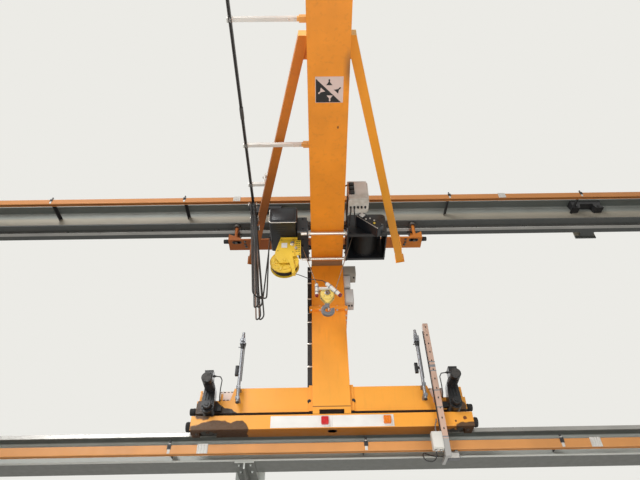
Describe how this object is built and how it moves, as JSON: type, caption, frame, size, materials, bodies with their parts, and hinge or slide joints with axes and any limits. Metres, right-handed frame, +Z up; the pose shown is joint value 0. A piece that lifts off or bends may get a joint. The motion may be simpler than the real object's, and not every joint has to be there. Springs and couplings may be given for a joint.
{
  "type": "wall travelling jib crane with its runway",
  "caption": "Wall travelling crane: braced cantilever jib on a mast that rolls along two wall runway beams, with an underslung hoist trolley, rope hook block and festoon.",
  "frame": {"origin": "centre of the back face of the middle lower console's plate, where it bolts to its column", "axes": "+X along the wall to the right as seen from the hall, +Y into the wall, +Z up; the jib reaches out along -Y"},
  "size_m": [12.2, 6.01, 4.27],
  "materials": {
    "runway_grey": "semi-gloss paint, dusty",
    "rail_steel": "worn bright on the running faces",
    "bar_orange": "satin",
    "hanger_dark": "satin",
    "clamp_grey": "satin",
    "crane_orange": "semi-gloss paint with grease and rust stains",
    "wheel_steel": "machined tread",
    "drive_black": "semi-gloss",
    "buffer_rubber": "matte",
    "post_silver": "satin",
    "post_tan": "matte, dusty",
    "collector_grey": "satin",
    "box_white": "satin",
    "panel_white": "gloss",
    "lamp_red": "gloss",
    "cabinet_grey": "satin",
    "duct_dark": "satin",
    "festoon_zinc": "galvanised",
    "track_dark": "dull zinc",
    "saddle_black": "satin",
    "cable_black": "matte",
    "trolley_black": "semi-gloss",
    "rod_zinc": "bright zinc",
    "drum_grey": "oiled",
    "control_black": "satin",
    "cover_black": "satin",
    "reel_yellow": "semi-gloss",
    "rope_wire": "greased wire",
    "block_yellow": "semi-gloss, worn",
    "sheave_steel": "machined",
    "lamp_white": "gloss",
    "hook_grey": "forged, satin"
  },
  "bodies": {
    "runway": {"lower_runway_beam": "runway_grey", "upper_runway_beam": "runway_grey", "lower_rail": "rail_steel", "upper_guide_rail": "rail_steel", "lower_consoles": "runway_grey", "upper_consoles": "runway_grey", "lower_conductor_bar": "bar_orange", "upper_conductor_bar": "bar_orange", "bar_hangers": "hanger_dark", "bar_joint_clamps": "clamp_grey"},
    "crane": {"jib_girder": "crane_orange", "mast_upper": "crane_orange", "mast_lower": "crane_orange", "head_stool": "crane_orange", "upper_carriage": "crane_orange", "upper_guide_rollers": "wheel_steel", "brace_left": "crane_orange", "brace_right": "crane_orange", "brace_hangers": "crane_orange", "travel_beam_left": "crane_orange", "travel_beam_right": "crane_orange", "travel_wheels": "wheel_steel", "guide_roller_beam": "crane_orange", "lower_guide_rollers": "wheel_steel", "travel_drive_left": "drive_black", "travel_drive_right": "drive_black", "carriage_buffers": "buffer_rubber", "sensor_posts": "post_silver", "collector_post": "post_tan", "current_collector": "collector_grey", "collector_cable": "cable_black", "junction_box": "box_white", "lamp_panel": "panel_white", "panel_lamps": "lamp_red", "mast_cabinets": "cabinet_grey", "cable_duct": "duct_dark", "festoon_arms": "festoon_zinc", "festoon_track": "track_dark", "festoon_saddles": "saddle_black", "festoon_cable_outer": "cable_black", "festoon_cable_inner": "cable_black", "jib_stops": "buffer_rubber"},
    "trolley": {"side_frames": "trolley_black", "tie_rods": "rod_zinc", "trolley_wheels": "wheel_steel", "drum_housing": "trolley_black", "hoist_drum": "drum_grey", "control_box": "control_black", "electrical_cabinet": "box_white", "hoist_gear_case": "trolley_black", "motor_cover": "cover_black", "reel_carrier": "reel_yellow", "cable_reel": "reel_yellow", "rope_falls": "rope_wire", "reel_cable": "cable_black"},
    "hook_block": {"block_body": "block_yellow", "rope_sheave": "sheave_steel", "block_lamps": "lamp_white"},
    "hook": {"hook": "hook_grey"}
  },
  "joints": [
    {"name": "crane_travel", "type": "slide", "parent": "runway", "child": "crane", "axis": [1, 0, 0], "range_m": [-4.9, 3.1]},
    {"name": "trolley_travel", "type": "slide", "parent": "crane", "child": "trolley", "axis": [0, -1, 0], "range_m": [0, 4]},
    {"name": "hoist", "type": "slide", "parent": "trolley", "child": "hook_block", "axis": [0, 0, 1], "range_m": [-4.5, 0.1], "deforming": ["rope_falls", "reel_cable"]},
    {"name": "hook_swivel", "type": "hinge", "parent": "hook_block", "child": "hook", "pos_m": [0.88, -1.22, 1.345], "axis": [0, 0, 1], "continuous": true}
  ]
}
